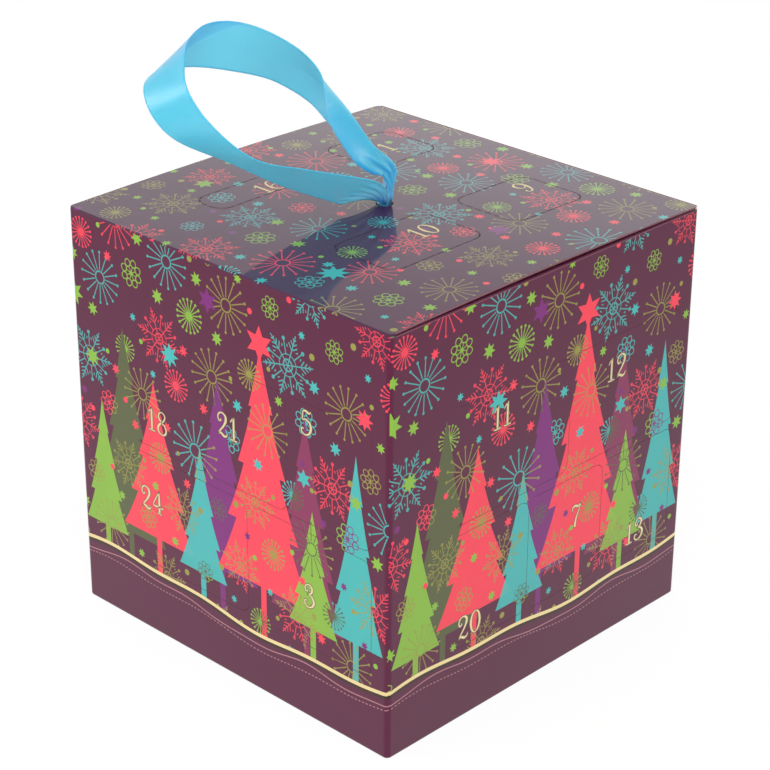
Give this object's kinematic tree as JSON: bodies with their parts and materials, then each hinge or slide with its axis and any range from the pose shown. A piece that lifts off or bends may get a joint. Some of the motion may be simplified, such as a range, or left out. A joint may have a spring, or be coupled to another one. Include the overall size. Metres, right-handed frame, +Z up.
{
  "type": "advent calendar gift box",
  "caption": "Cube carton of printed folding board with numbered perforated doors on five faces, card trays inside, a tuck lid and a satin ribbon handle.",
  "frame": {"origin": "centre of the base, on the surface that it stands on", "axes": "+Z up, -Y towards the front wall that the lid folds off, +X towards the right wall"},
  "size_m": [0.2, 0.2, 0.2832],
  "materials": {
    "printed_board": "gloss-coated folding board printed on a plum ground with gold foil lines",
    "printed_door": "the same board and print, perforated on three sides",
    "board_inside": "uncoated back of the board",
    "white_card": "plain white tray card",
    "satin_ribbon": "sky blue double-faced satin ribbon"
  },
  "bodies": {
    "carton": {"bottom_panel": "printed_board", "bottom_inner_flap": "board_inside", "bottom_flap_left": "board_inside", "bottom_flap_right": "board_inside", "glue_flap": "board_inside", "base_riser": "white_card", "core_sleeve": "white_card", "top_deck": "white_card", "pocket_16": "white_card", "pocket_01": "white_card", "pocket_10": "white_card", "pocket_09": "white_card", "wall_front": "printed_board", "tray_front": "white_card", "wall_right": "printed_board", "tray_right": "white_card", "wall_back": "printed_board", "tray_back": "white_card", "wall_left": "printed_board", "tray_left": "white_card"},
    "lid": {"lid_panel": "printed_board", "ribbon_loop": "satin_ribbon", "ribbon_knot": "satin_ribbon"},
    "tuck": {"tuck_flap": "printed_board"},
    "dust_right": {"dust_flap_right": "printed_board"},
    "dust_left": {"dust_flap_left": "printed_board"},
    "door_01": {"door_01": "printed_door"},
    "door_02": {"door_02": "printed_door"},
    "door_03": {"door_03": "printed_door"},
    "door_04": {"door_04": "printed_door"},
    "door_05": {"door_05": "printed_door"},
    "door_06": {"door_06": "printed_door"},
    "door_07": {"door_07": "printed_door"},
    "door_08": {"door_08": "printed_door"},
    "door_09": {"door_09": "printed_door"},
    "door_10": {"door_10": "printed_door"},
    "door_11": {"door_11": "printed_door"},
    "door_12": {"door_12": "printed_door"},
    "door_13": {"door_13": "printed_door"},
    "door_14": {"door_14": "printed_door"},
    "door_15": {"door_15": "printed_door"},
    "door_16": {"door_16": "printed_door"},
    "door_17": {"door_17": "printed_door"},
    "door_18": {"door_18": "printed_door"},
    "door_19": {"door_19": "printed_door"},
    "door_20": {"door_20": "printed_door"},
    "door_21": {"door_21": "printed_door"},
    "door_22": {"door_22": "printed_door"},
    "door_23": {"door_23": "printed_door"},
    "door_24": {"door_24": "printed_door"}
  },
  "joints": [
    {"name": "lid_hinge", "type": "hinge", "parent": "carton", "child": "lid", "pos_m": [0, -0.1, 0.1992], "axis": [1, 0, 0], "range_deg": [0, 120]},
    {"name": "tuck_fold", "type": "hinge", "parent": "lid", "child": "tuck", "pos_m": [0, 0.0989, 0.1992], "axis": [1, 0, 0], "range_deg": [0, 60]},
    {"name": "dust_fold_right", "type": "hinge", "parent": "carton", "child": "dust_right", "pos_m": [0.1, 0, 0.1981], "axis": [0, 1, 0], "range_deg": [0, 90]},
    {"name": "dust_fold_left", "type": "hinge", "parent": "carton", "child": "dust_left", "pos_m": [-0.1, 0, 0.1981], "axis": [0, -1, 0], "range_deg": [0, 90]},
    {"name": "door_01_hinge", "type": "hinge", "parent": "lid", "child": "door_01", "pos_m": [-0.052, 0.03, 0.20106], "axis": [1, 0, 0], "range_deg": [0, 165]},
    {"name": "door_02_hinge", "type": "hinge", "parent": "carton", "child": "door_02", "pos_m": [0.0074, 0.1, 0.1258], "axis": [0, 0, -1], "range_deg": [0, 165]},
    {"name": "door_03_hinge", "type": "hinge", "parent": "carton", "child": "door_03", "pos_m": [0.01795, -0.1, 0.0648], "axis": [0, 0, -1], "range_deg": [0, 165]},
    {"name": "door_04_hinge", "type": "hinge", "parent": "carton", "child": "door_04", "pos_m": [-0.1, -0.01795, 0.1258], "axis": [0, 0, -1], "range_deg": [0, 165]},
    {"name": "door_05_hinge", "type": "hinge", "parent": "carton", "child": "door_05", "pos_m": [0.0433, -0.1, 0.1258], "axis": [0, 0, -1], "range_deg": [0, 165]},
    {"name": "door_06_hinge", "type": "hinge", "parent": "carton", "child": "door_06", "pos_m": [0.0581, 0.1, 0.0648], "axis": [0, 0, -1], "range_deg": [0, 165]},
    {"name": "door_07_hinge", "type": "hinge", "parent": "carton", "child": "door_07", "pos_m": [0.1, -0.0074, 0.0648], "axis": [0, 0, -1], "range_deg": [0, 165]},
    {"name": "door_08_hinge", "type": "hinge", "parent": "carton", "child": "door_08", "pos_m": [-0.1, 0.0074, 0.0648], "axis": [0, 0, -1], "range_deg": [0, 165]},
    {"name": "door_09_hinge", "type": "hinge", "parent": "lid", "child": "door_09", "pos_m": [0.03825, 0.024, 0.20111], "axis": [1, 0, 0], "range_deg": [0, 165]},
    {"name": "door_10_hinge", "type": "hinge", "parent": "lid", "child": "door_10", "pos_m": [0.03825, -0.054, 0.2008], "axis": [1, 0, 0], "range_deg": [0, 165]},
    {"name": "door_11_hinge", "type": "hinge", "parent": "carton", "child": "door_11", "pos_m": [0.1, -0.0581, 0.1258], "axis": [0, 0, -1], "range_deg": [0, 165]},
    {"name": "door_12_hinge", "type": "hinge", "parent": "carton", "child": "door_12", "pos_m": [0.1, 0.01795, 0.1258], "axis": [0, 0, -1], "range_deg": [0, 165]},
    {"name": "door_13_hinge", "type": "hinge", "parent": "carton", "child": "door_13", "pos_m": [0.1, 0.0433, 0.0648], "axis": [0, 0, -1], "range_deg": [0, 165]},
    {"name": "door_14_hinge", "type": "hinge", "parent": "carton", "child": "door_14", "pos_m": [-0.1, 0.0581, 0.1258], "axis": [0, 0, -1], "range_deg": [0, 165]},
    {"name": "door_15_hinge", "type": "hinge", "parent": "carton", "child": "door_15", "pos_m": [0.0581, 0.1, 0.1258], "axis": [0, 0, -1], "range_deg": [0, 165]},
    {"name": "door_16_hinge", "type": "hinge", "parent": "lid", "child": "door_16", "pos_m": [-0.055, -0.057, 0.20075], "axis": [1, 0, 0], "range_deg": [0, 165]},
    {"name": "door_17_hinge", "type": "hinge", "parent": "carton", "child": "door_17", "pos_m": [-0.1, -0.0433, 0.0648], "axis": [0, 0, -1], "range_deg": [0, 165]},
    {"name": "door_18_hinge", "type": "hinge", "parent": "carton", "child": "door_18", "pos_m": [-0.0581, -0.1, 0.1258], "axis": [0, 0, -1], "range_deg": [0, 165]},
    {"name": "door_19_hinge", "type": "hinge", "parent": "carton", "child": "door_19", "pos_m": [-0.01795, 0.1, 0.0648], "axis": [0, 0, -1], "range_deg": [0, 165]},
    {"name": "door_20_hinge", "type": "hinge", "parent": "carton", "child": "door_20", "pos_m": [0.1, -0.0581, 0.0648], "axis": [0, 0, -1], "range_deg": [0, 165]},
    {"name": "door_21_hinge", "type": "hinge", "parent": "carton", "child": "door_21", "pos_m": [-0.0074, -0.1, 0.1258], "axis": [0, 0, -1], "range_deg": [0, 165]},
    {"name": "door_22_hinge", "type": "hinge", "parent": "carton", "child": "door_22", "pos_m": [-0.0433, 0.1, 0.1258], "axis": [0, 0, -1], "range_deg": [0, 165]},
    {"name": "door_23_hinge", "type": "hinge", "parent": "carton", "child": "door_23", "pos_m": [-0.1, 0.0581, 0.0648], "axis": [0, 0, -1], "range_deg": [0, 165]},
    {"name": "door_24_hinge", "type": "hinge", "parent": "carton", "child": "door_24", "pos_m": [-0.0581, -0.1, 0.0648], "axis": [0, 0, -1], "range_deg": [0, 165]}
  ],
  "couplings": [
    {"joint": "tuck_fold", "follows": "lid_hinge", "ratio": 0.45},
    {"joint": "dust_fold_right", "follows": "lid_hinge", "ratio": 0.75},
    {"joint": "dust_fold_left", "follows": "lid_hinge", "ratio": 0.75}
  ]
}
